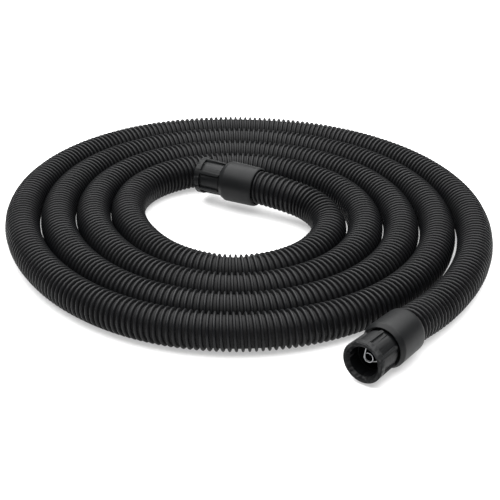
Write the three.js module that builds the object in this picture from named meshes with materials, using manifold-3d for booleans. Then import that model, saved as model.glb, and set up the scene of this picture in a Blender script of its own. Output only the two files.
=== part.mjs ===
// A corrugated suction hose, wound flat into a loose coil of four and a quarter turns.
// Each end carries the same swivel fitting: a smooth collar gripping the hose, and a
// ribbed connector that turns freely in it. Millimetres, +Z up, lying on z = 0.
import * as THREE from "three";
import { mergeVertices } from "three/addons/utils/BufferGeometryUtils.js";
import Module from "manifold-3d";

const wasm = await Module();
wasm.setup();

// ---- driving dimensions ----
const GAP = 0.3; // clearance between pieces that touch on the real hose
const SIDES = 36; // facets round a turned piece

// hose
const HOSE_OD = 37.5; // over the crests of the corrugation
const HOSE_BORE = 30.6; // inside the valleys
const HOSE_SIDES = 12;
const SECTION_ACROSS = HOSE_OD - 0.4; // the plain section, across its flats

// coil, seen from above, with polar angles in degrees about its centre
const TURN_PITCH = 38.2; // how much the radius falls in one turn
const COIL_RADIUS = 260.2; // radius of the centreline at angle 0, before the oval is added
const OVAL = 7.6; // the hand-laid coil is a little longer one way
const OVAL_ANGLE = -31.3;
const TRILOBE = 2.6; // and a little flatter on three sides
const TRILOBE_ANGLE = 59.8;
const COIL_STEP = 20; // degrees between two sections, the same in every turn
const COIL_FROM = 40; // where the outer end leaves the coil
const COIL_STEPS = 71;
const COIL_CENTRE = new THREE.Vector2(-12.86, -8.08); // puts the origin under the middle

// outer fitting: its axis runs along Y, mouth towards -Y
const OUTER_AXIS_OFFSET = 268.8; // from the coil's centre, along +X
const OUTER_MOUTH_Y = -166.4; // from the coil's centre

// inner fitting: its axis is square to the direction INNER_NORMAL
const INNER_NORMAL = 98.2; // degrees
const INNER_AXIS_OFFSET = 64.0; // from the coil's centre, along INNER_NORMAL
const INNER_MOUTH_ALONG = -81.5; // along the axis, from the point nearest the coil's centre
const INNER_AXIS_HEIGHT = 29.5; // it leans on the shoulder of the innermost turn

// where each connector happens to be turned to: the first rib's angle from upright, in degrees
const OUTER_RIB_ANGLE = 4;
const INNER_RIB_ANGLE = -4;

// fitting, with distances s measured along its axis from the mouth
const GRIP_LENGTH = 30.4;
const RIM_R = 20.4; // connector at the mouth
const GRIP_END_R = 19.5; // connector where it meets the collar
const RIM_BAND = 6.6; // plain ring between the mouth and the panels
const RIM_CHAMFER = 0.9;
const RIBS = 6;
const RIB_WIDTH = 3.4;
const PANEL_R = 17.7; // curved floor of the panels between the ribs; open at the collar end
const SOCKET_R = 14.6; // bore behind the mouth, which takes a tube
const FLARE_R = 17.2; // the mouth flares out to this
const FLARE_DEPTH = 2.8;
const SOCKET_DEPTH = 16.0;
const AIRWAY_R = 13.4;
const SPIGOT_R = 17.1; // tail of the connector, inside the collar
const SPIGOT_END = 46.4;
const GROOVE_R = 15.7; // retaining ring groove in the spigot
const GROOVE_FROM = 40.4;
const GROOVE_TO = 43.0;
const COLLAR_FROM = 32.5;
const COLLAR_LIP_R = 20.2; // front edge of the cone
const RECESS_R = 19.5; // groove behind that edge, round the connector's tail
const RECESS_DEPTH = 2.4;
const COLLAR_FRONT_R = 22.6;
const COLLAR_CONE_END = 36.8;
const COLLAR_REAR_R = 21.9;
const COLLAR_ROUND_FROM = 69.4;
const COLLAR_END = 73.4;
const COLLAR_EDGE_DROP = 1.6; // how far the rounded rear edge falls
const CONE_EDGE_LENGTH = 0.8; // the small slope that eases the cone into the barrel
const CONE_EDGE_DROP = 0.4;
const COLLAR_LIP_DEPTH = 40.0; // end of the narrow front bore
const COLLAR_BORE_R = 19.5; // wide rear bore: retaining ring, seal and hose
const SEAL_FROM = 46.9;
const SEAL_TO = 48.7;
const SEAL_R = AIRWAY_R + 0.4; // a little wider than the airway
const FLANGE_FROM = 49.0;
const FLANGE_TO = 50.6;
const FERRULE_END = 69.0;
const HOSE_START = 51.0;

// wire stop across the outer mouth
const WIRE_D = 1.0;
const WIRE_LOOP_R = 4.4;
const WIRE_S = 11.6; // distance of its plane from the mouth
const WIRE_HOLE_R = WIRE_D / 2 + GAP;
const WIRE_HOLE_DEPTH = 1.6;
const WIRE_HOLE_LENGTH = 8; // the drill starts inside the mouth
const WIRE_SIDES = 8;
const WIRE_STEPS = 40;
const WIRE_LEG_SHARE = 0.05; // share of the steps that each straight leg takes
const WIRE_LEG_UP = 79; // direction of the first leg, degrees in the plane across the axis
const WIRE_LEG_SIDE = 22;

const rad = THREE.MathUtils.degToRad;

// ---- materials ----
const moulded = new THREE.MeshStandardMaterial({ color: 0x1c1c1e, roughness: 0.5, metalness: 0 });
const tubing = new THREE.MeshStandardMaterial({ color: 0x17181a, roughness: 0.45, metalness: 0 });
const rubber = new THREE.MeshStandardMaterial({ color: 0x0f0f10, roughness: 0.85, metalness: 0 });
const acetal = new THREE.MeshStandardMaterial({ color: 0xd9d6cc, roughness: 0.5, metalness: 0 });
const steel = new THREE.MeshStandardMaterial({ color: 0xb9bcc0, roughness: 0.35, metalness: 1 });

// ---- shapes ----
// A solid turned about the fitting's axis, from [s, radius] corners.
function turned(corners, sides = SIDES) {
  const profile = corners.map(([s, r]) => new THREE.Vector2(r, s));
  if (THREE.ShapeUtils.isClockWise(profile)) profile.reverse();
  profile.push(profile[0].clone());
  return new THREE.LatheGeometry(profile, sides);
}

function solidOf(geometry) {
  const bare = geometry.clone();
  bare.deleteAttribute("normal");
  bare.deleteAttribute("uv");
  const merged = mergeVertices(bare, 1e-4);
  return new wasm.Manifold(
    new wasm.Mesh({
      numProp: 3,
      vertProperties: new Float32Array(merged.attributes.position.array),
      triVerts: new Uint32Array(merged.index.array),
    }),
  );
}

function geometryOf(solid) {
  const mesh = solid.getMesh();
  const geometry = new THREE.BufferGeometry();
  geometry.setAttribute("position", new THREE.BufferAttribute(mesh.vertProperties, 3));
  geometry.setIndex(new THREE.BufferAttribute(mesh.triVerts, 1));
  geometry.computeVertexNormals();
  return geometry;
}

function piece(name, geometry, material) {
  const mesh = new THREE.Mesh(geometry, material);
  mesh.name = name;
  return mesh;
}

// ---- coil route ----
function coilPoint(angle) {
  const r =
    COIL_RADIUS -
    (TURN_PITCH * angle) / (2 * Math.PI) +
    OVAL * Math.cos(2 * (angle - rad(OVAL_ANGLE))) +
    TRILOBE * Math.cos(3 * (angle - rad(TRILOBE_ANGLE)));
  return new THREE.Vector2(r * Math.cos(angle), r * Math.sin(angle));
}

function coilInward(angle) {
  const ahead = coilPoint(angle + 1e-4).sub(coilPoint(angle - 1e-4)).normalize();
  return new THREE.Vector2(-ahead.y, ahead.x);
}

// The arc that leaves the coil at the angle and ends on the line at the offset along the normal.
function leadArc(angle, normal, offset) {
  const start = coilPoint(angle);
  const inward = coilInward(angle);
  const radius = (offset - start.dot(normal)) / (1 + inward.dot(normal));
  const centre = start.clone().addScaledVector(inward, radius);
  const startAngle = Math.atan2(start.y - centre.y, start.x - centre.x);
  return { centre, radius, startAngle, end: centre.clone().addScaledVector(normal, radius) };
}

function onCircle(centre, radius, angle) {
  return new THREE.Vector2(
    centre.x + radius * Math.cos(angle),
    centre.y + radius * Math.sin(angle),
  );
}

const coilFrom = rad(COIL_FROM);
const coilTo = rad(COIL_FROM + COIL_STEP * COIL_STEPS);
const outerNormal = new THREE.Vector2(1, 0);
const innerNormal = new THREE.Vector2(Math.cos(rad(INNER_NORMAL)), Math.sin(rad(INNER_NORMAL)));
const innerAlong = new THREE.Vector2(innerNormal.y, -innerNormal.x); // from the mouth to the hose
const outerArc = leadArc(coilFrom, outerNormal, OUTER_AXIS_OFFSET);
const innerArc = leadArc(coilTo, innerNormal, INNER_AXIS_OFFSET);
const innerArcEnd = rad(INNER_NORMAL);
const innerArcStart =
  innerArc.startAngle - 2 * Math.PI * Math.ceil((innerArc.startAngle - innerArcEnd) / (2 * Math.PI));

const outerMouth = new THREE.Vector2(OUTER_AXIS_OFFSET, OUTER_MOUTH_Y);
const innerMouth = innerNormal
  .clone()
  .multiplyScalar(INNER_AXIS_OFFSET)
  .addScaledVector(innerAlong, INNER_MOUTH_ALONG);
const outerCollarEnd = outerMouth.clone().add(new THREE.Vector2(0, COLLAR_END));
const outerHoseEnd = outerMouth.clone().add(new THREE.Vector2(0, HOSE_START));
const innerCollarEnd = innerMouth.clone().addScaledVector(innerAlong, COLLAR_END);
const innerHoseEnd = innerMouth.clone().addScaledVector(innerAlong, HOSE_START);

const LIE = HOSE_OD / 2; // height of the centreline where the hose lies on the ground
const OUTER_AXIS_HEIGHT = COLLAR_FRONT_R; // the collar lies on the ground
const ease = (t) => t * t * (3 - 2 * t);
const between = (a, b, t) => a.clone().lerp(b, t);
const innerArcLength = innerArc.radius * (innerArcEnd - innerArcStart);
const innerStraight = innerArc.end.distanceTo(innerCollarEnd);

// The hose's inner end rises all the way along its arc and its straight.
function innerRise(distance) {
  return THREE.MathUtils.lerp(
    LIE,
    INNER_AXIS_HEIGHT,
    ease(distance / (innerArcLength + innerStraight)),
  );
}

// The stretches of the route, each with its number of steps, its plan and its height.
const route = [
  { steps: 1, plan: (t) => between(outerHoseEnd, outerCollarEnd, t), rise: () => OUTER_AXIS_HEIGHT },
  {
    steps: 3,
    plan: (t) => between(outerCollarEnd, outerArc.end, t),
    rise: (t) => THREE.MathUtils.lerp(OUTER_AXIS_HEIGHT, LIE, ease(t)),
  },
  {
    steps: 4,
    plan: (t) => onCircle(outerArc.centre, outerArc.radius, t * outerArc.startAngle),
    rise: () => LIE,
  },
  {
    steps: COIL_STEPS,
    plan: (t) => coilPoint(THREE.MathUtils.lerp(coilFrom, coilTo, t)),
    rise: () => LIE,
  },
  {
    steps: 4,
    plan: (t) =>
      onCircle(
        innerArc.centre,
        innerArc.radius,
        THREE.MathUtils.lerp(innerArcStart, innerArcEnd, t),
      ),
    rise: (t) => innerRise(t * innerArcLength),
  },
  {
    steps: 3,
    plan: (t) => between(innerArc.end, innerCollarEnd, t),
    rise: (t) => innerRise(innerArcLength + t * innerStraight),
  },
  { steps: 1, plan: (t) => between(innerCollarEnd, innerHoseEnd, t), rise: () => INNER_AXIS_HEIGHT },
];
const routeSteps = route.reduce((sum, stretch) => sum + stretch.steps, 0);

// The centreline, whose parameter counts steps, so that the sections of every turn line up.
class HoseCentreline extends THREE.Curve {
  getPoint(t, target = new THREE.Vector3()) {
    let at = t * routeSteps;
    let k = 0;
    while (k < route.length - 1 && at > route[k].steps) {
      at -= route[k].steps;
      k += 1;
    }
    const part = Math.min(at / route[k].steps, 1);
    const plan = route[k].plan(part).add(COIL_CENTRE);
    return target.set(plan.x, plan.y, route[k].rise(part));
  }

  getUtoTmapping(u) {
    return u;
  }
}

function polygonPoints(across, sides) {
  const cornerR = across / 2 / Math.cos(Math.PI / sides);
  return Array.from({ length: sides }, (_, i) => {
    const a = ((i + 0.5) * 2 * Math.PI) / sides;
    return new THREE.Vector2(cornerR * Math.cos(a), cornerR * Math.sin(a));
  });
}

function makeHose() {
  const section = new THREE.Shape(polygonPoints(SECTION_ACROSS, HOSE_SIDES));
  section.holes.push(new THREE.Path(polygonPoints(HOSE_BORE, HOSE_SIDES).reverse()));
  const geometry = new THREE.ExtrudeGeometry(section, {
    steps: routeSteps,
    extrudePath: new HoseCentreline(),
  });
  return piece("hose", geometry, tubing);
}

// ---- fitting ----
function makeCollar() {
  const roundR = COLLAR_END - COLLAR_ROUND_FROM;
  const roundOff = [0, 30, 60, 90].map((a) => [
    COLLAR_ROUND_FROM + roundR * Math.sin(rad(a)),
    COLLAR_REAR_R - COLLAR_EDGE_DROP * (1 - Math.cos(rad(a))),
  ]);
  return turned([
    [COLLAR_FROM, RECESS_R],
    [COLLAR_FROM + RECESS_DEPTH, RECESS_R],
    [COLLAR_FROM + RECESS_DEPTH, SPIGOT_R + GAP],
    [COLLAR_LIP_DEPTH, SPIGOT_R + GAP],
    [COLLAR_LIP_DEPTH, COLLAR_BORE_R],
    [COLLAR_END, COLLAR_BORE_R],
    ...roundOff.reverse(),
    [COLLAR_CONE_END + CONE_EDGE_LENGTH, COLLAR_FRONT_R],
    [COLLAR_CONE_END, COLLAR_FRONT_R - CONE_EDGE_DROP],
    [COLLAR_FROM, COLLAR_LIP_R],
  ]);
}

// The ring that is cut away round the grip to leave the ribs standing between curved panels.
function panelCutter(ribAngle) {
  const to = GRIP_LENGTH + GAP;
  let ring = solidOf(
    turned([
      [RIM_BAND, PANEL_R],
      [to, PANEL_R],
      [to, RIM_R + GAP],
      [RIM_BAND, RIM_R + GAP],
    ]),
  );
  for (let i = 0; i < RIBS; i += 1) {
    const rib = new THREE.BoxGeometry(RIB_WIDTH, 2 * GRIP_LENGTH, RIM_R);
    rib.translate(0, GRIP_LENGTH, RIM_R);
    rib.rotateY(ribAngle + (i * 2 * Math.PI) / RIBS);
    ring = ring.subtract(solidOf(rib));
  }
  return ring;
}

function makeConnector(ribAngle, wireHoles) {
  let solid = solidOf(
    turned([
      [0, FLARE_R],
      [FLARE_DEPTH, SOCKET_R],
      [SOCKET_DEPTH, SOCKET_R],
      [SOCKET_DEPTH, AIRWAY_R],
      [SPIGOT_END, AIRWAY_R],
      [SPIGOT_END, SPIGOT_R],
      [GROOVE_TO, SPIGOT_R],
      [GROOVE_TO, GROOVE_R],
      [GROOVE_FROM, GROOVE_R],
      [GROOVE_FROM, SPIGOT_R],
      [GRIP_LENGTH, SPIGOT_R],
      [GRIP_LENGTH, GRIP_END_R],
      [RIM_CHAMFER, RIM_R],
      [0, RIM_R - RIM_CHAMFER],
    ]),
  ).subtract(panelCutter(ribAngle));
  for (const hole of wireHoles) solid = solid.subtract(hole);
  return geometryOf(solid);
}

function makeRetainingRing() {
  return turned([
    [GROOVE_FROM + GAP, GROOVE_R + GAP],
    [GROOVE_TO - GAP, GROOVE_R + GAP],
    [GROOVE_TO - GAP, COLLAR_BORE_R - GAP],
    [GROOVE_FROM + GAP, COLLAR_BORE_R - GAP],
  ]);
}

function makeLipSeal() {
  return turned([
    [SEAL_FROM, SEAL_R],
    [SEAL_TO, SEAL_R],
    [SEAL_TO, COLLAR_BORE_R - GAP],
    [SEAL_FROM, COLLAR_BORE_R - GAP],
  ]);
}

function makeFerrule() {
  const sleeveR = HOSE_BORE / 2 - GAP;
  return turned([
    [FLANGE_FROM, AIRWAY_R],
    [FERRULE_END, AIRWAY_R],
    [FERRULE_END, sleeveR],
    [FLANGE_TO, sleeveR],
    [FLANGE_TO, COLLAR_BORE_R - GAP],
    [FLANGE_FROM, COLLAR_BORE_R - GAP],
  ]);
}

// ---- wire stop: a leg, one full loop and a second leg, in a plane across the axis ----
// A leg leaves the loop along its tangent and ends in a hole in the wall of the mouth.
function wireLeg(direction, side) {
  const tangent = new THREE.Vector2(Math.cos(direction), Math.sin(direction));
  const start = new THREE.Vector2(-side * tangent.y, side * tangent.x).multiplyScalar(WIRE_LOOP_R);
  const wallR = SOCKET_R + WIRE_HOLE_DEPTH - GAP;
  const reach = Math.sqrt(wallR ** 2 - WIRE_LOOP_R ** 2);
  return { tangent, start, end: start.clone().addScaledVector(tangent, reach) };
}

const legUp = wireLeg(rad(WIRE_LEG_UP), 1);
const legSide = wireLeg(rad(WIRE_LEG_SIDE), -1);
const loopFrom = Math.atan2(legUp.start.y, legUp.start.x);
const loopTo = Math.atan2(legSide.start.y, legSide.start.x) + 4 * Math.PI;
const turnsOfLoop = (loopTo - loopFrom) / (2 * Math.PI);
const wireLayer = ((WIRE_D + GAP) * turnsOfLoop) / 2; // so that the loop passes beside itself

class WireLine extends THREE.Curve {
  // Down the first leg, anticlockwise round the loop past its start, and out along the second.
  getPoint(t, target = new THREE.Vector3()) {
    const turn = THREE.MathUtils.clamp((t - WIRE_LEG_SHARE) / (1 - 2 * WIRE_LEG_SHARE), 0, 1);
    const angle = THREE.MathUtils.lerp(loopFrom, loopTo, turn);
    const at = onCircle(new THREE.Vector2(), WIRE_LOOP_R, angle);
    if (turn === 0) at.lerpVectors(legUp.end, legUp.start, t / WIRE_LEG_SHARE);
    if (turn === 1) at.lerpVectors(legSide.end, legSide.start, (1 - t) / WIRE_LEG_SHARE);
    return target.set(at.x, WIRE_S + THREE.MathUtils.lerp(-wireLayer, wireLayer, turn), at.y);
  }

  getUtoTmapping(u) {
    return u;
  }
}

function makeWireStop() {
  const section = new THREE.Shape(polygonPoints(WIRE_D, WIRE_SIDES));
  return new THREE.ExtrudeGeometry(section, { steps: WIRE_STEPS, extrudePath: new WireLine() });
}

function wireHole(leg, depth) {
  const hole = new THREE.CylinderGeometry(WIRE_HOLE_R, WIRE_HOLE_R, WIRE_HOLE_LENGTH, 16);
  hole.rotateX(Math.PI / 2);
  hole.rotateY(Math.atan2(leg.tangent.x, leg.tangent.y));
  const middle = leg.end.clone().addScaledVector(leg.tangent, GAP - WIRE_HOLE_LENGTH / 2);
  hole.translate(middle.x, WIRE_S + depth, middle.y);
  return solidOf(hole);
}

function makeFitting(prefix, ribAngle, hasWireStop) {
  const holes = hasWireStop ? [wireHole(legUp, -wireLayer), wireHole(legSide, wireLayer)] : [];
  const group = new THREE.Group();
  group.add(piece(prefix + "_collar", makeCollar(), moulded));
  group.add(piece(prefix + "_connector", makeConnector(ribAngle, holes), moulded));
  group.add(piece(prefix + "_retaining_ring", makeRetainingRing(), acetal));
  group.add(piece(prefix + "_lip_seal", makeLipSeal(), rubber));
  group.add(piece(prefix + "_ferrule", makeFerrule(), moulded));
  if (hasWireStop) group.add(piece(prefix + "_wire_stop", makeWireStop(), steel));
  return group;
}

// ---- assembly ----
const root = new THREE.Group();
root.add(makeHose());

const outer = makeFitting("outer", rad(OUTER_RIB_ANGLE), true);
outer.position.set(outerMouth.x + COIL_CENTRE.x, outerMouth.y + COIL_CENTRE.y, OUTER_AXIS_HEIGHT);
root.add(outer);

const inner = makeFitting("inner", rad(INNER_RIB_ANGLE), false);
inner.position.set(innerMouth.x + COIL_CENTRE.x, innerMouth.y + COIL_CENTRE.y, INNER_AXIS_HEIGHT);
inner.rotation.z = Math.atan2(innerAlong.y, innerAlong.x) - Math.PI / 2;
root.add(inner);

export default root;
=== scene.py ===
# A corrugated suction hose lying in a loose flat coil, with the same swivel fitting on each end.
# Metres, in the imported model's own frame: +Z up, and the floor at z = 0.
from math import atan2, ceil, cos, hypot, pi, radians, sin, sqrt

import bpy
import numpy as np
from mathutils import Matrix, Vector


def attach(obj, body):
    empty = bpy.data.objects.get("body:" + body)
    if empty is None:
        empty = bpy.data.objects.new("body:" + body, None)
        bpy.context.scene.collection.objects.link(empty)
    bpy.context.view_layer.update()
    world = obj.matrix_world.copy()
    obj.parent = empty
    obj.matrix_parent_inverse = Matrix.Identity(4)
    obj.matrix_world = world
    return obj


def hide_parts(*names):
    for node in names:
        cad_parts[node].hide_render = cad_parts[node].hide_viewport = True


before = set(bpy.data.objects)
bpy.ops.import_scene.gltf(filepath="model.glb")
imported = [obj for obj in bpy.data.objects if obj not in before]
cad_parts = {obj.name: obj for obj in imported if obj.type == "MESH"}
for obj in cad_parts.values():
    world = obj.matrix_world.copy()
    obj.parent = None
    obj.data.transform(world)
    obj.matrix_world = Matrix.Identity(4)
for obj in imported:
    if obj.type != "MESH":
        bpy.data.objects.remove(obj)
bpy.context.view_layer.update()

MM = 0.001

# ---- hose ----
HOSE_OD = 37.5 * MM  # over the crests
HOSE_BORE = 30.6 * MM
RIB_PITCH = 5.9 * MM  # the corrugation is one long helix, this much further each time round
HOSE_SIDES = 18
BORE_RING_SPACING = 4 * RIB_PITCH  # the bore is plain, so its rings are few

# One rib from valley to valley: place along the pitch, and depth below the crest.
RIB_PROFILE = (
    (-0.28, 3.1 * MM),
    (-0.21, 0.9 * MM),
    (-0.09, 0.05 * MM),
    (0.09, 0.05 * MM),
    (0.21, 0.9 * MM),
    (0.28, 3.1 * MM),
)

# ---- coil, seen from above, about its own centre ----
TURN_PITCH = 38.2 * MM
COIL_RADIUS = 260.2 * MM
OVAL = 7.6 * MM
OVAL_ANGLE = radians(-31.3)
TRILOBE = 2.6 * MM
TRILOBE_ANGLE = radians(59.8)
COIL_FROM = radians(40)
COIL_TO = radians(1460)
COIL_CENTRE = np.array((-12.86, -8.08)) * MM
OUTER_AXIS_OFFSET = 268.8 * MM
OUTER_MOUTH_Y = -166.4 * MM
INNER_NORMAL = radians(98.2)
INNER_AXIS_OFFSET = 64.0 * MM
INNER_MOUTH_ALONG = -81.5 * MM
OUTER_AXIS_HEIGHT = 22.6 * MM
INNER_AXIS_HEIGHT = 29.5 * MM
LIE = HOSE_OD / 2

# ---- fitting, with distances s along its axis from the mouth ----
ROUND_SIDES = 96
RIM_R = 20.4 * MM
RIM_BAND = 6.6 * MM
GRIP_LENGTH = 30.4 * MM
RIBS = 6
RIB_ANGLE = {"outer": radians(4), "inner": radians(-4)}  # the first rib's, from upright
RIB_WIDTH = 3.4 * MM
RIB_TIP = 1.5 * MM  # how far each corner of a rib's free end is rounded
PANEL_R = 17.7 * MM
SOCKET_R = 14.6 * MM
HOSE_START = 51.0 * MM
COLLAR_END = 73.4 * MM
SOFT_EDGE = 0.35 * MM

WIRE_D = 1.0 * MM
WIRE_LOOP_R = 4.4 * MM
WIRE_S = 11.6 * MM
WIRE_CLEARANCE = 0.3 * MM
WIRE_HOLE_DEPTH = 1.6 * MM
WIRE_LEG_UP = radians(79)
WIRE_LEG_SIDE = radians(22)
WIRE_LOOP_STEPS = 48
WIRE_SIDES = 12
DRILL_LENGTH = 8.0 * MM
DRILL_SIDES = 24

CONNECTOR_PROFILE = (
    (0.0, 17.2), (2.8, 14.6), (16.0, 14.6), (16.0, 13.4), (46.4, 13.4), (46.4, 17.1), (43.0, 17.1),
    (43.0, 15.7), (40.4, 15.7), (40.4, 17.1), (30.4, 17.1), (30.4, 19.5), (0.9, 20.4), (0.0, 19.5),
)
COLLAR_PROFILE = (
    (32.5, 19.5), (34.9, 19.5), (34.9, 17.4), (40.0, 17.4), (40.0, 19.5), (73.4, 19.5), (73.4, 20.3),
    (72.9, 21.1), (71.5, 21.7), (69.4, 21.9), (38.4, 22.6), (37.3, 22.5), (36.6, 22.1), (32.5, 20.2),
)


# ---- camera ----
CAMERA_TARGET = Vector((42.6, -56.95, 19.3)) * MM
CAMERA_AZIMUTH = radians(37.36)
CAMERA_ELEVATION = radians(27.35)
CAMERA_DISTANCE = 1.3594
CAMERA_LENS = 94.99  # millimetres, on a 36 mm wide sensor


def place_camera():
    level = cos(CAMERA_ELEVATION)
    towards = Vector((level * sin(CAMERA_AZIMUTH), -level * cos(CAMERA_AZIMUTH), sin(CAMERA_ELEVATION)))
    camera = bpy.data.objects.new("camera", bpy.data.cameras.new("camera"))
    bpy.context.scene.collection.objects.link(camera)
    camera.location = CAMERA_TARGET + towards * CAMERA_DISTANCE
    camera.rotation_euler = towards.to_track_quat("Z", "Y").to_euler()
    camera.data.sensor_width = 36
    camera.data.lens = CAMERA_LENS
    camera.data.clip_start = 0.05
    camera.data.clip_end = 30
    bpy.context.scene.camera = camera


# ---- materials ----
def linear(hex_colour):
    """An sRGB hex colour as linear RGBA."""
    channels = [int(hex_colour[i:i + 2], 16) / 255 for i in (1, 3, 5)]
    return (*[c / 12.92 if c <= 0.04045 else ((c + 0.055) / 1.055) ** 2.4 for c in channels], 1.0)


def node(material, kind, inputs=None, **settings):
    """Adds a node. inputs maps a socket to a value, or to the output socket that feeds it."""
    tree = material.node_tree
    made = tree.nodes.new(kind)
    for name, value in settings.items():
        setattr(made, name, value)
    for socket, value in (inputs or {}).items():
        if isinstance(value, bpy.types.NodeSocket):
            tree.links.new(value, made.inputs[socket])
        else:
            made.inputs[socket].default_value = value
    return made


def new_material(name, **values):
    """A material and its shader, with constants set on the shader's own sockets."""
    material = bpy.data.materials.new(name)
    material.use_nodes = True
    shader = material.node_tree.nodes["Principled BSDF"]
    for socket, value in values.items():
        shader.inputs[socket.replace("_", " ")].default_value = value
    return material, shader


def feed(material, shader, **outputs):
    for socket, output in outputs.items():
        material.node_tree.links.new(output, shader.inputs[socket.replace("_", " ")])


def per_mm(size):
    """The noise scale whose features are about this many millimetres across."""
    return 1 / (size * MM)


def extruded_polyethylene():
    """Black polyethylene tube, blown into ribs: a soft sheen and rubbed wear on the crests, painted shade
    darkening the valleys.
    """
    material, shader = new_material("extruded_polyethylene", IOR=1.5, Specular_IOR_Level=0.17)
    place = node(material, "ShaderNodeTexCoord").outputs["Object"]
    crest = node(material, "ShaderNodeAttribute", attribute_name="crest").outputs["Fac"]
    handling = node(material, "ShaderNodeTexNoise", {"Vector": place, "Scale": per_mm(35), "Detail": 3.0})
    grain = node(material, "ShaderNodeTexNoise", {"Vector": place, "Scale": per_mm(1.6), "Detail": 2.0})
    # Crest height times handling patches: rubbed wear on the crests, and painted shade in the valleys.
    crest_wear_and_valley_shade = node(
        material, "ShaderNodeMath", {0: crest, 1: handling.outputs["Fac"]}, operation="MULTIPLY"
    ).outputs[0]
    # The colour is darker in the valleys as painted shade, and lighter on rubbed patches of the crests.
    colour = node(
        material, "ShaderNodeMix",
        {"Factor": crest_wear_and_valley_shade, "A": linear("#030304"), "B": linear("#0d0e10")}, data_type="RGBA",
    )
    sheen = node(
        material, "ShaderNodeMapRange",
        {"Value": crest_wear_and_valley_shade, "From Min": 0.15, "From Max": 0.65, "To Min": 0.62, "To Max": 0.30},
    )
    relief = node(
        material, "ShaderNodeBump",
        {"Height": grain.outputs["Fac"], "Strength": 0.25, "Distance": 0.12 * MM},
    )
    feed(material, shader, Base_Color=colour.outputs["Result"], Roughness=sheen.outputs["Result"],
         Normal=relief.outputs["Normal"])
    return material


def moulded_polypropylene():
    """Black polypropylene from a spark-eroded mould: a fine even grain with a satin sheen."""
    material, shader = new_material("moulded_polypropylene", IOR=1.49, Specular_IOR_Level=0.15)
    place = node(material, "ShaderNodeTexCoord").outputs["Object"]
    grain = node(material, "ShaderNodeTexNoise", {"Vector": place, "Scale": per_mm(0.8), "Detail": 2.0})
    flow = node(material, "ShaderNodeTexNoise", {"Vector": place, "Scale": per_mm(18), "Detail": 2.0})
    colour = node(
        material, "ShaderNodeMix",
        {"Factor": flow.outputs["Fac"], "A": linear("#090a0b"), "B": linear("#0e0f10")}, data_type="RGBA",
    )
    sheen = node(
        material, "ShaderNodeMapRange",
        {"Value": flow.outputs["Fac"], "From Min": 0.3, "From Max": 0.7, "To Min": 0.40, "To Max": 0.5},
    )
    relief = node(
        material, "ShaderNodeBump",
        {"Height": grain.outputs["Fac"], "Strength": 0.3, "Distance": 0.06 * MM},
    )
    feed(material, shader, Base_Color=colour.outputs["Result"], Roughness=sheen.outputs["Result"],
         Normal=relief.outputs["Normal"])
    return material


def drawn_stainless_wire():
    """Bright stainless spring wire: lengthwise drawing marks break its highlight up."""
    material, shader = new_material("drawn_stainless_wire", Metallic=1.0, Roughness=0.34)
    place = node(material, "ShaderNodeTexCoord").outputs["Object"]
    marks = node(material, "ShaderNodeTexNoise", {"Vector": place, "Scale": per_mm(1.2), "Detail": 3.0})
    colour = node(
        material, "ShaderNodeMix",
        {"Factor": marks.outputs["Fac"], "A": linear("#97999b"), "B": linear("#bcbec0")}, data_type="RGBA",
    )
    relief = node(
        material, "ShaderNodeBump",
        {"Height": marks.outputs["Fac"], "Strength": 0.2, "Distance": 0.03 * MM},
    )
    feed(material, shader, Base_Color=colour.outputs["Result"], Normal=relief.outputs["Normal"])
    return material


def natural_acetal():
    """Milky acetal, turned: smooth and slightly translucent looking, with faint clouding."""
    material, shader = new_material("natural_acetal", IOR=1.48, Roughness=0.42)
    place = node(material, "ShaderNodeTexCoord").outputs["Object"]
    cloud = node(material, "ShaderNodeTexNoise", {"Vector": place, "Scale": per_mm(6), "Detail": 2.0})
    colour = node(
        material, "ShaderNodeMix",
        {"Factor": cloud.outputs["Fac"], "A": linear("#d3d0c5"), "B": linear("#e2dfd5")}, data_type="RGBA",
    )
    feed(material, shader, Base_Color=colour.outputs["Result"])
    return material


def nitrile_rubber():
    """Moulded nitrile rubber: matt black with a chalky bloom in patches."""
    material, shader = new_material("nitrile_rubber", IOR=1.52, Roughness=0.8)
    place = node(material, "ShaderNodeTexCoord").outputs["Object"]
    bloom = node(material, "ShaderNodeTexNoise", {"Vector": place, "Scale": per_mm(5), "Detail": 4.0})
    colour = node(
        material, "ShaderNodeMix",
        {"Factor": bloom.outputs["Fac"], "A": linear("#0d0d0e"), "B": linear("#1d1d1e")}, data_type="RGBA",
    )
    feed(material, shader, Base_Color=colour.outputs["Result"])
    return material


def lit_acrylic():
    """A white acrylic table lit from below: its glow takes most of the shadow off it."""
    material, shader = new_material(
        "lit_acrylic", IOR=1.49, Roughness=0.7, Specular_IOR_Level=0.2,
        Emission_Color=(1, 1, 1, 1), Emission_Strength=0.42,
    )
    place = node(material, "ShaderNodeTexCoord").outputs["Object"]
    mottle = node(material, "ShaderNodeTexNoise", {"Vector": place, "Scale": per_mm(300), "Detail": 2.0})
    colour = node(
        material, "ShaderNodeMix",
        {"Factor": mottle.outputs["Fac"], "A": linear("#bdbdbd"), "B": linear("#c3c3c3")}, data_type="RGBA",
    )
    feed(material, shader, Base_Color=colour.outputs["Result"])
    return material


# ---- route of the hose ----
def coil_point(angle):
    r = (
        COIL_RADIUS
        - TURN_PITCH * angle / (2 * pi)
        + OVAL * np.cos(2 * (angle - OVAL_ANGLE))
        + TRILOBE * np.cos(3 * (angle - TRILOBE_ANGLE))
    )
    return np.stack((r * np.cos(angle), r * np.sin(angle)), axis=-1)


def coil_inward(angle):
    ahead = coil_point(angle + 1e-4) - coil_point(angle - 1e-4)
    ahead /= hypot(*ahead)
    return np.array((-ahead[1], ahead[0]))


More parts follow.
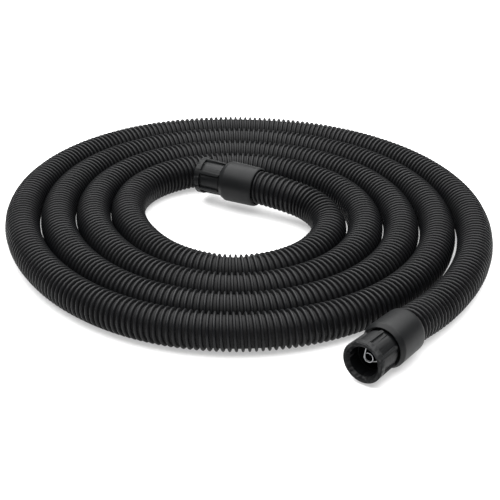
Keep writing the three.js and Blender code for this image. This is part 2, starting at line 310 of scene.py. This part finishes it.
def lead_arc(angle, normal, offset):
    """The arc that leaves the coil at the angle and ends on the line at the offset along the normal."""
    start = coil_point(angle)
    inward = coil_inward(angle)
    radius = (offset - start @ normal) / (1 + inward @ normal)
    centre = start + inward * radius
    return centre, radius, atan2(*(start - centre)[::-1])


def on_circle(centre, radius, angle):
    return centre + radius * np.stack((np.cos(angle), np.sin(angle)), axis=-1)


def ease(t):
    return t * t * (3 - 2 * t)


outer_normal = np.array((1.0, 0.0))
outer_along = np.array((0.0, 1.0))
outer_mouth = np.array((OUTER_AXIS_OFFSET, OUTER_MOUTH_Y))
inner_normal = np.array((cos(INNER_NORMAL), sin(INNER_NORMAL)))
inner_along = np.array((inner_normal[1], -inner_normal[0]))
inner_mouth = inner_normal * INNER_AXIS_OFFSET + inner_along * INNER_MOUTH_ALONG


def hose_route(coil_samples=20000, lead_samples=1000):
    """Closely spaced points along the hose's centreline, from the outer fitting to the inner one."""
    outer_centre, outer_radius, outer_start = lead_arc(COIL_FROM, outer_normal, OUTER_AXIS_OFFSET)
    inner_centre, inner_radius, inner_start = lead_arc(COIL_TO, inner_normal, INNER_AXIS_OFFSET)
    inner_start -= 2 * pi * ceil((inner_start - INNER_NORMAL) / (2 * pi))
    outer_end = outer_centre + outer_radius * outer_normal
    inner_end = inner_centre + inner_radius * inner_normal
    t = np.linspace(0, 1, coil_samples)
    short = np.linspace(0, 1, lead_samples)[:, None]

    def line(a, b):
        return a + (b - a) * short

    def level(points, height):
        return np.column_stack((points, np.broadcast_to(height, len(points))))

    collar = outer_mouth + outer_along * COLLAR_END
    inner_collar = inner_mouth + inner_along * COLLAR_END
    down = OUTER_AXIS_HEIGHT + (LIE - OUTER_AXIS_HEIGHT) * ease(short[:, 0])
    arc_length = inner_radius * (INNER_NORMAL - inner_start)
    straight = hypot(*(inner_collar - inner_end))

    def rise(distance):
        return LIE + (INNER_AXIS_HEIGHT - LIE) * ease(distance / (arc_length + straight))

    stretches = [
        level(line(outer_mouth + outer_along * HOSE_START, collar), OUTER_AXIS_HEIGHT),
        level(line(collar, outer_end), down),
        level(on_circle(outer_centre, outer_radius, short[:, 0] * outer_start), LIE),
        level(coil_point(COIL_FROM + (COIL_TO - COIL_FROM) * t), LIE),
        level(
            on_circle(inner_centre, inner_radius, inner_start + (INNER_NORMAL - inner_start) * short[:, 0]),
            rise(arc_length * short[:, 0]),
        ),
        level(line(inner_end, inner_collar), rise(arc_length + straight * short[:, 0])),
        level(line(inner_collar, inner_mouth + inner_along * HOSE_START), INNER_AXIS_HEIGHT),
    ]
    points = np.concatenate([s[1:] if i else s for i, s in enumerate(stretches)])
    points[:, :2] += COIL_CENTRE
    return points


class Centreline:
    """A finely divided line, read by distance along it."""

    def __init__(self, points):
        self.points = points
        self.at = np.concatenate(([0], np.cumsum(np.linalg.norm(np.diff(points, axis=0), axis=1))))
        self.length = self.at[-1]

    def point(self, s):
        return np.stack([np.interp(s, self.at, self.points[:, k]) for k in range(3)], axis=-1)

    def around(self, s, angle, radius):
        """The point at that radius and angle round the centreline, at distance s along it."""
        here = self.point(s)
        ahead = self.point(np.minimum(s + MM, self.length)) - self.point(np.maximum(s - MM, 0))
        ahead /= np.linalg.norm(ahead, axis=-1, keepdims=True)
        side = np.stack((ahead[..., 1], -ahead[..., 0], np.zeros_like(ahead[..., 0])), axis=-1)
        side /= np.linalg.norm(side, axis=-1, keepdims=True)
        up = np.cross(side, ahead)
        return here + (side * np.cos(angle)[..., None] + up * np.sin(angle)[..., None]) * radius[..., None]


def make_hose(line, material):
    """The corrugated tube: one helical rib outside, a plain bore inside, and a ring closing each end."""
    phases = np.array([p for p, _ in RIB_PROFILE])
    depths = np.array([d for _, d in RIB_PROFILE])
    per_rib = len(phases)
    ribs = int((line.length - 2 * RIB_PITCH) / RIB_PITCH)
    rows = ribs * per_rib
    margin = (line.length - (ribs + 1) * RIB_PITCH) / 2

    # Column j is j/sides of a pitch further on, so that the last one meets the first one's next rib.
    row, column = np.meshgrid(np.arange(rows + per_rib), np.arange(HOSE_SIDES), indexing="ij")
    turns = row // per_rib + phases[row % per_rib] - phases[0] + column / HOSE_SIDES
    s = margin + turns * RIB_PITCH
    angle = -column * 2 * pi / HOSE_SIDES
    depth = depths[row % per_rib]
    skin = line.around(np.minimum(s, line.length), angle, LIE - depth)

    bore_rows = int(line.length / BORE_RING_SPACING)
    bore_s, bore_angle = np.meshgrid(
        np.linspace(0, line.length, bore_rows), angle[0], indexing="ij"
    )
    bore = line.around(bore_s, bore_angle, np.full(bore_s.shape, HOSE_BORE / 2))

    def skin_at(i, j):
        return i * HOSE_SIDES + j if j < HOSE_SIDES else (i + per_rib) * HOSE_SIDES + j - HOSE_SIDES

    def bore_at(i, j):
        return skin.shape[0] * HOSE_SIDES + i * HOSE_SIDES + j % HOSE_SIDES

    faces = []
    for i in range(rows - 1):
        for j in range(HOSE_SIDES):
            faces.append((skin_at(i, j), skin_at(i, j + 1), skin_at(i + 1, j + 1), skin_at(i + 1, j)))
    for i in range(bore_rows - 1):
        for j in range(HOSE_SIDES):
            faces.append((bore_at(i, j), bore_at(i + 1, j), bore_at(i + 1, j + 1), bore_at(i, j + 1)))
    last = bore_rows - 1
    for j in range(HOSE_SIDES):
        faces.append((bore_at(0, j + 1), skin_at(0, j + 1), skin_at(0, j), bore_at(0, j)))
        faces.append(
            (bore_at(last, j), skin_at(rows - 1, j), skin_at(rows - 1, j + 1), bore_at(last, j + 1))
        )
    for i in range(per_rib):
        faces.append((skin_at(i, 0), skin_at(i + 1, 0), bore_at(0, 0)))
        faces.append((skin_at(rows + i, 0), skin_at(rows - 1 + i, 0), bore_at(last, 0)))

    mesh = bpy.data.meshes.new("corrugated_hose")
    mesh.from_pydata(np.concatenate((skin.reshape(-1, 3), bore.reshape(-1, 3))).tolist(), [], faces)
    # Crest height, which the hose material uses for wear on the crests and for painted shade in the
    # valleys.
    crest = mesh.attributes.new("crest", "FLOAT", "POINT")
    height = 1 - depth / depths.max()
    crest.data.foreach_set("value", np.concatenate((height.ravel(), np.zeros(bore_s.size))))
    hose = bpy.data.objects.new("corrugated_hose", mesh)
    bpy.context.scene.collection.objects.link(hose)
    bpy.ops.object.select_all(action="DESELECT")
    hose.select_set(True)
    bpy.context.view_layer.objects.active = hose
    bpy.ops.object.mode_set(mode="EDIT")
    bpy.ops.mesh.select_all(action="SELECT")
    bpy.ops.mesh.delete_loose()
    bpy.ops.object.mode_set(mode="OBJECT")
    bpy.ops.object.shade_smooth_by_angle(angle=radians(60))
    mesh.materials.append(material)
    return hose


# ---- modelling helpers ----
def primitive(add, name, **settings):
    """Adds a primitive alone in the selection, with its place in its mesh."""
    bpy.ops.object.select_all(action="DESELECT")
    add(**settings)
    piece = bpy.context.object
    piece.name = name
    piece.data.name = name
    bpy.ops.object.transform_apply(location=True, rotation=True, scale=True)
    return piece


def turned(name, profile):
    """A closed ring about the Y axis: a circle, extruded from corner to corner of its profile."""
    corners = [(s * MM, r * MM) for s, r in profile]
    piece = primitive(
        bpy.ops.mesh.primitive_circle_add, name, vertices=ROUND_SIDES, radius=corners[0][1],
        location=(0, corners[0][0], 0), rotation=(pi / 2, 0, 0),
    )
    bpy.ops.object.mode_set(mode="EDIT")
    bpy.ops.mesh.select_all(action="SELECT")
    for (s_from, r_from), (s_to, r_to) in zip(corners, corners[1:] + corners[:1]):
        bpy.ops.mesh.extrude_region_move(TRANSFORM_OT_translate={"value": (0, s_to - s_from, 0)})
        grow = r_to / r_from
        bpy.ops.transform.resize(value=(grow, 1, grow), center_override=(0, s_to, 0))
    bpy.ops.mesh.select_all(action="SELECT")
    bpy.ops.mesh.remove_doubles(threshold=1e-6)
    bpy.ops.mesh.normals_make_consistent(inside=False)
    bpy.ops.object.mode_set(mode="OBJECT")
    return piece


def make_active(piece):
    bpy.ops.object.select_all(action="DESELECT")
    piece.select_set(True)
    bpy.context.view_layer.objects.active = piece


def apply_modifier(piece, kind, **settings):
    make_active(piece)
    modifier = piece.modifiers.new(kind.lower(), kind)
    for name, value in settings.items():
        setattr(modifier, name, value)
    bpy.ops.object.modifier_apply(modifier=modifier.name)


def set_order(piece):
    """Orders vertices and faces by place, because a boolean leaves them in another order each time."""
    mesh = piece.data
    places = [tuple(vertex.co) for vertex in mesh.vertices]
    order = sorted(range(len(places)), key=places.__getitem__)
    rank = {old: new for new, old in enumerate(order)}
    faces = []
    for face in mesh.polygons:
        corners = [rank[v] for v in face.vertices]
        first = corners.index(min(corners))
        faces.append(corners[first:] + corners[:first])
    mesh.clear_geometry()
    mesh.from_pydata([places[old] for old in order], [], sorted(faces))


def cut(piece, tool):
    apply_modifier(piece, "BOOLEAN", operation="DIFFERENCE", solver="EXACT", object=tool)
    bpy.data.objects.remove(tool)
    set_order(piece)


def copy_of(piece, name, move=Matrix.Identity(4)):
    double = piece.copy()
    double.data = piece.data.copy()
    double.name = name
    double.data.name = name
    double.data.transform(move)
    bpy.context.scene.collection.objects.link(double)
    return double


def soften(piece, width=SOFT_EDGE):
    """Rounds the edges as a mould leaves them, then shades the faces smooth."""
    apply_modifier(
        piece, "BEVEL", width=width, segments=3, limit_method="ANGLE", angle_limit=radians(32),
        use_clamp_overlap=True,
    )
    make_active(piece)
    bpy.ops.object.shade_smooth_by_angle(angle=radians(35))


# ---- pieces of a fitting ----
def panel_cutter(rib_angle):
    """The ring cut away round the grip, less six round-ended ribs, which leaves panels between them."""
    beyond = GRIP_LENGTH + MM
    ring = turned(
        "panel_cutter",
        [(s / MM, r / MM) for s, r in (
            (RIM_BAND, PANEL_R), (beyond, PANEL_R), (beyond, RIM_R + MM), (RIM_BAND, RIM_R + MM)
        )],
    )
    length = GRIP_LENGTH - RIM_BAND + MM
    height = RIM_R - PANEL_R + 3 * MM
    rib = primitive(
        bpy.ops.mesh.primitive_cube_add, "rib", size=1,
        location=(0, GRIP_LENGTH - length / 2, PANEL_R + height / 2 - MM),
        scale=(RIB_WIDTH, length, height),
    )
    bpy.ops.object.mode_set(mode="EDIT")
    bpy.ops.mesh.select_mode(type="EDGE")
    bpy.ops.mesh.select_all(action="DESELECT")
    bpy.ops.object.mode_set(mode="OBJECT")
    for edge in rib.data.edges:
        a, b = (rib.data.vertices[v].co for v in edge.vertices)
        edge.select = abs(a.z - b.z) > height / 2 and a.y > RIM_BAND + MM
    bpy.ops.object.mode_set(mode="EDIT")
    bpy.ops.mesh.bevel(offset=RIB_TIP, segments=6, affect="EDGES")
    bpy.ops.object.mode_set(mode="OBJECT")
    for i in range(RIBS):
        cut(ring, copy_of(rib, f"rib_{i}", Matrix.Rotation(rib_angle + i * 2 * pi / RIBS, 4, "Y")))
    bpy.data.objects.remove(rib)
    return ring


def wire_leg(direction, side):
    """Where a leg of the wire leaves the loop, its direction, and where it ends in the wall."""
    tangent = Vector((cos(direction), 0, sin(direction)))
    start = side * WIRE_LOOP_R * Vector((-tangent.z, 0, tangent.x))
    reach = sqrt((SOCKET_R + WIRE_HOLE_DEPTH - WIRE_CLEARANCE) ** 2 - WIRE_LOOP_R**2)
    return start, tangent, start + tangent * reach


leg_up = wire_leg(WIRE_LEG_UP, 1)
leg_side = wire_leg(WIRE_LEG_SIDE, -1)
loop_from = atan2(leg_up[0].z, leg_up[0].x)
loop_to = atan2(leg_side[0].z, leg_side[0].x) + 4 * pi
wire_layer = (WIRE_D + WIRE_CLEARANCE) * (loop_to - loop_from) / (4 * pi)


def wire_hole(leg, depth):
    """A drill through the wall where a leg ends."""
    _, tangent, end = leg
    middle = end + tangent * (WIRE_CLEARANCE - DRILL_LENGTH / 2) + Vector((0, WIRE_S + depth, 0))
    return primitive(
        bpy.ops.mesh.primitive_cylinder_add, "wire_drill", vertices=DRILL_SIDES,
        radius=WIRE_D / 2 + WIRE_CLEARANCE, depth=DRILL_LENGTH, location=middle,
        rotation=tangent.to_track_quat("Z", "Y").to_euler(),
    )


def make_connector(name, rib_angle, has_wire):
    piece = turned(name, CONNECTOR_PROFILE)
    cut(piece, panel_cutter(rib_angle))
    if has_wire:
        cut(piece, wire_hole(leg_up, -wire_layer))
        cut(piece, wire_hole(leg_side, wire_layer))
    soften(piece)
    return piece


def make_collar(name):
    piece = turned(name, COLLAR_PROFILE)
    soften(piece)
    return piece


def make_wire_stop(name):
    """Spring wire: in from the wall, round the loop past its start, and out to the wall again."""
    start, tangent, end = leg_up
    depth = Vector((0, WIRE_S - wire_layer, 0))
    piece = primitive(
        bpy.ops.mesh.primitive_circle_add, name, vertices=WIRE_SIDES, radius=WIRE_D / 2, fill_type="NGON",
        location=end + depth, rotation=(-tangent).to_track_quat("Z", "Y").to_euler(),
    )
    bpy.ops.object.mode_set(mode="EDIT")
    bpy.ops.mesh.select_all(action="SELECT")
    bpy.ops.mesh.extrude_region_move(TRANSFORM_OT_translate={"value": start - end})
    step = (loop_to - loop_from) / WIRE_LOOP_STEPS
    for i in range(WIRE_LOOP_STEPS):
        bpy.ops.mesh.extrude_region_move(
            TRANSFORM_OT_translate={"value": (0, 2 * wire_layer / WIRE_LOOP_STEPS, 0)}
        )
        bpy.ops.transform.rotate(value=step, orient_axis="Y", center_override=(0, WIRE_S, 0))
    start, tangent, end = leg_side
    bpy.ops.mesh.extrude_region_move(TRANSFORM_OT_translate={"value": end - start})
    bpy.ops.mesh.select_all(action="SELECT")
    bpy.ops.mesh.normals_make_consistent(inside=False)
    bpy.ops.object.mode_set(mode="OBJECT")
    bpy.ops.object.shade_smooth_by_angle(angle=radians(40))
    return piece


def fitting_place(mouth, along, height):
    x, y = mouth + COIL_CENTRE
    return Matrix.Translation((x, y, height)) @ Matrix.Rotation(atan2(along[1], along[0]) - pi / 2, 4, "Z")


# ---- the hose and its fittings ----
place_camera()
polyethylene = extruded_polyethylene()
polypropylene = moulded_polypropylene()
stainless = drawn_stainless_wire()
acetal = natural_acetal()
nitrile = nitrile_rubber()

line = Centreline(hose_route())
hose = make_hose(line, polyethylene)
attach(hose, "hose")
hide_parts("hose")

places = {
    "outer": fitting_place(outer_mouth, outer_along, OUTER_AXIS_HEIGHT),
    "inner": fitting_place(inner_mouth, inner_along, INNER_AXIS_HEIGHT),
}
for end, place in places.items():
    body = f"{end}_swivel"
    connector = make_connector(f"{end}_ribbed_connector", RIB_ANGLE[end], has_wire=end == "outer")
    collar = make_collar(f"{end}_swivel_collar")
    for piece, rides_on, cad_node in (
        (connector, body, f"{end}_connector"),
        (collar, "hose", f"{end}_collar"),
    ):
        piece.data.transform(place)
        piece.data.materials.append(polypropylene)
        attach(piece, rides_on)
        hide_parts(cad_node)
    sealed = {f"{end}_retaining_ring": acetal, f"{end}_lip_seal": nitrile, f"{end}_ferrule": polypropylene}
    for name, material in sealed.items():
        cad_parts[name].data.materials.clear()
        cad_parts[name].data.materials.append(material)

wire = make_wire_stop("wire_loop_stop")
wire.data.transform(places["outer"])
wire.data.materials.append(stainless)
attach(wire, "outer_swivel")
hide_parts("outer_wire_stop")


# ---- studio ----
def area_light(name, place, aim, size, power):
    lamp = bpy.data.lights.new(name, "AREA")
    lamp.shape = "DISK"
    lamp.size = size
    lamp.energy = power
    lit = bpy.data.objects.new(name, lamp)
    bpy.context.scene.collection.objects.link(lit)
    lit.location = place
    lit.rotation_euler = (Vector(place) - Vector(aim)).to_track_quat("Z", "Y").to_euler()


floor = primitive(bpy.ops.mesh.primitive_plane_add, "floor", size=12)
floor.data.materials.append(lit_acrylic())

area_light("overhead", (-0.2, 0.26, 2.0), (0, 0, 0), 4.4, 270)

world = bpy.data.worlds.new("studio")
world.use_nodes = True
world.node_tree.nodes["Background"].inputs["Color"].default_value = (1, 1, 1, 1)
world.node_tree.nodes["Background"].inputs["Strength"].default_value = 0.4
bpy.context.scene.world = world
bpy.context.scene.view_settings.view_transform = "Standard"
